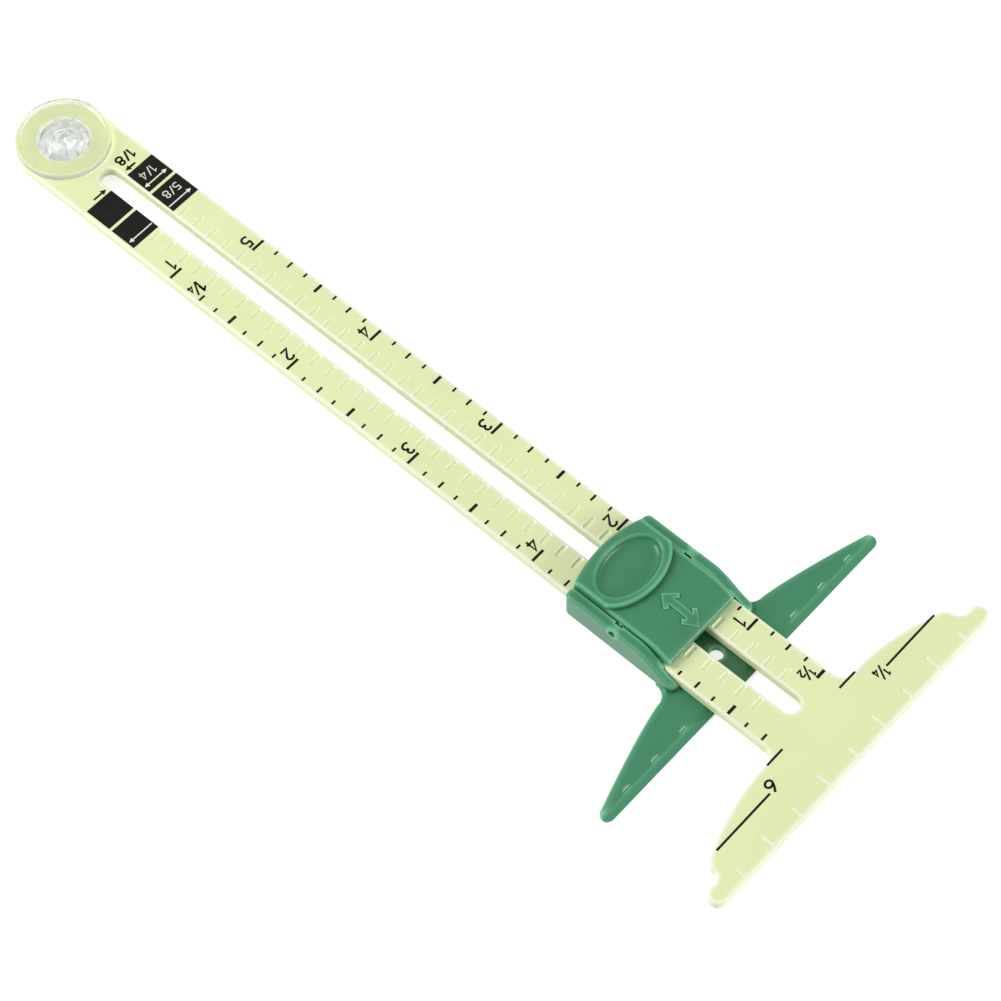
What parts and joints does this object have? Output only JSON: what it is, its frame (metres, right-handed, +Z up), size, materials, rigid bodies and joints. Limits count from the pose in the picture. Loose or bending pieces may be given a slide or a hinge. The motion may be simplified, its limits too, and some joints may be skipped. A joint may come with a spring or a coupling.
{
  "type": "sewing gauge",
  "caption": "Sliding sewing gauge: a slotted lime ruler with a T head, a green winged slider with a thumb lever, and a clear anchor button.",
  "frame": {"origin": "axis of the anchor button's pin hole, on the surface that the gauge lies on", "axes": "+X along the ruler towards the T head, +Z up out of the ruler's printed face"},
  "size_m": [0.1723, 0.063, 0.0072],
  "materials": {
    "lime_plastic": "smooth, slightly translucent moulding",
    "green_plastic": "satin moulding",
    "clear_plastic": "clear polished moulding",
    "spring_steel": "bright rolled strip",
    "black_ink": "printed marks"
  },
  "bodies": {
    "ruler": {"ruler_tail": "lime_plastic", "left_rail": "lime_plastic", "right_rail": "lime_plastic", "ruler_head": "lime_plastic"},
    "slider": {"slider_frame": "green_plastic", "return_spring": "spring_steel"},
    "lever": {"thumb_lever": "green_plastic"},
    "button": {"anchor_button": "clear_plastic"}
  },
  "joints": [
    {"name": "slider_slide", "type": "slide", "parent": "ruler", "child": "slider", "axis": [1, 0, 0], "range_m": [-0.10575, 0.0144]},
    {"name": "lever_rock", "type": "hinge", "parent": "slider", "child": "lever", "pos_m": [0.1251, 0, 0.0049], "axis": [0, -1, 0], "range_deg": [0, 5.5], "stiffness_Nm_per_rad": 0.05, "springref_deg": -2.86, "deforming": ["return_spring"]},
    {"name": "button_spin", "type": "hinge", "parent": "ruler", "child": "button", "pos_m": [0, 0, 0], "axis": [0, 0, 1], "continuous": true}
  ]
}
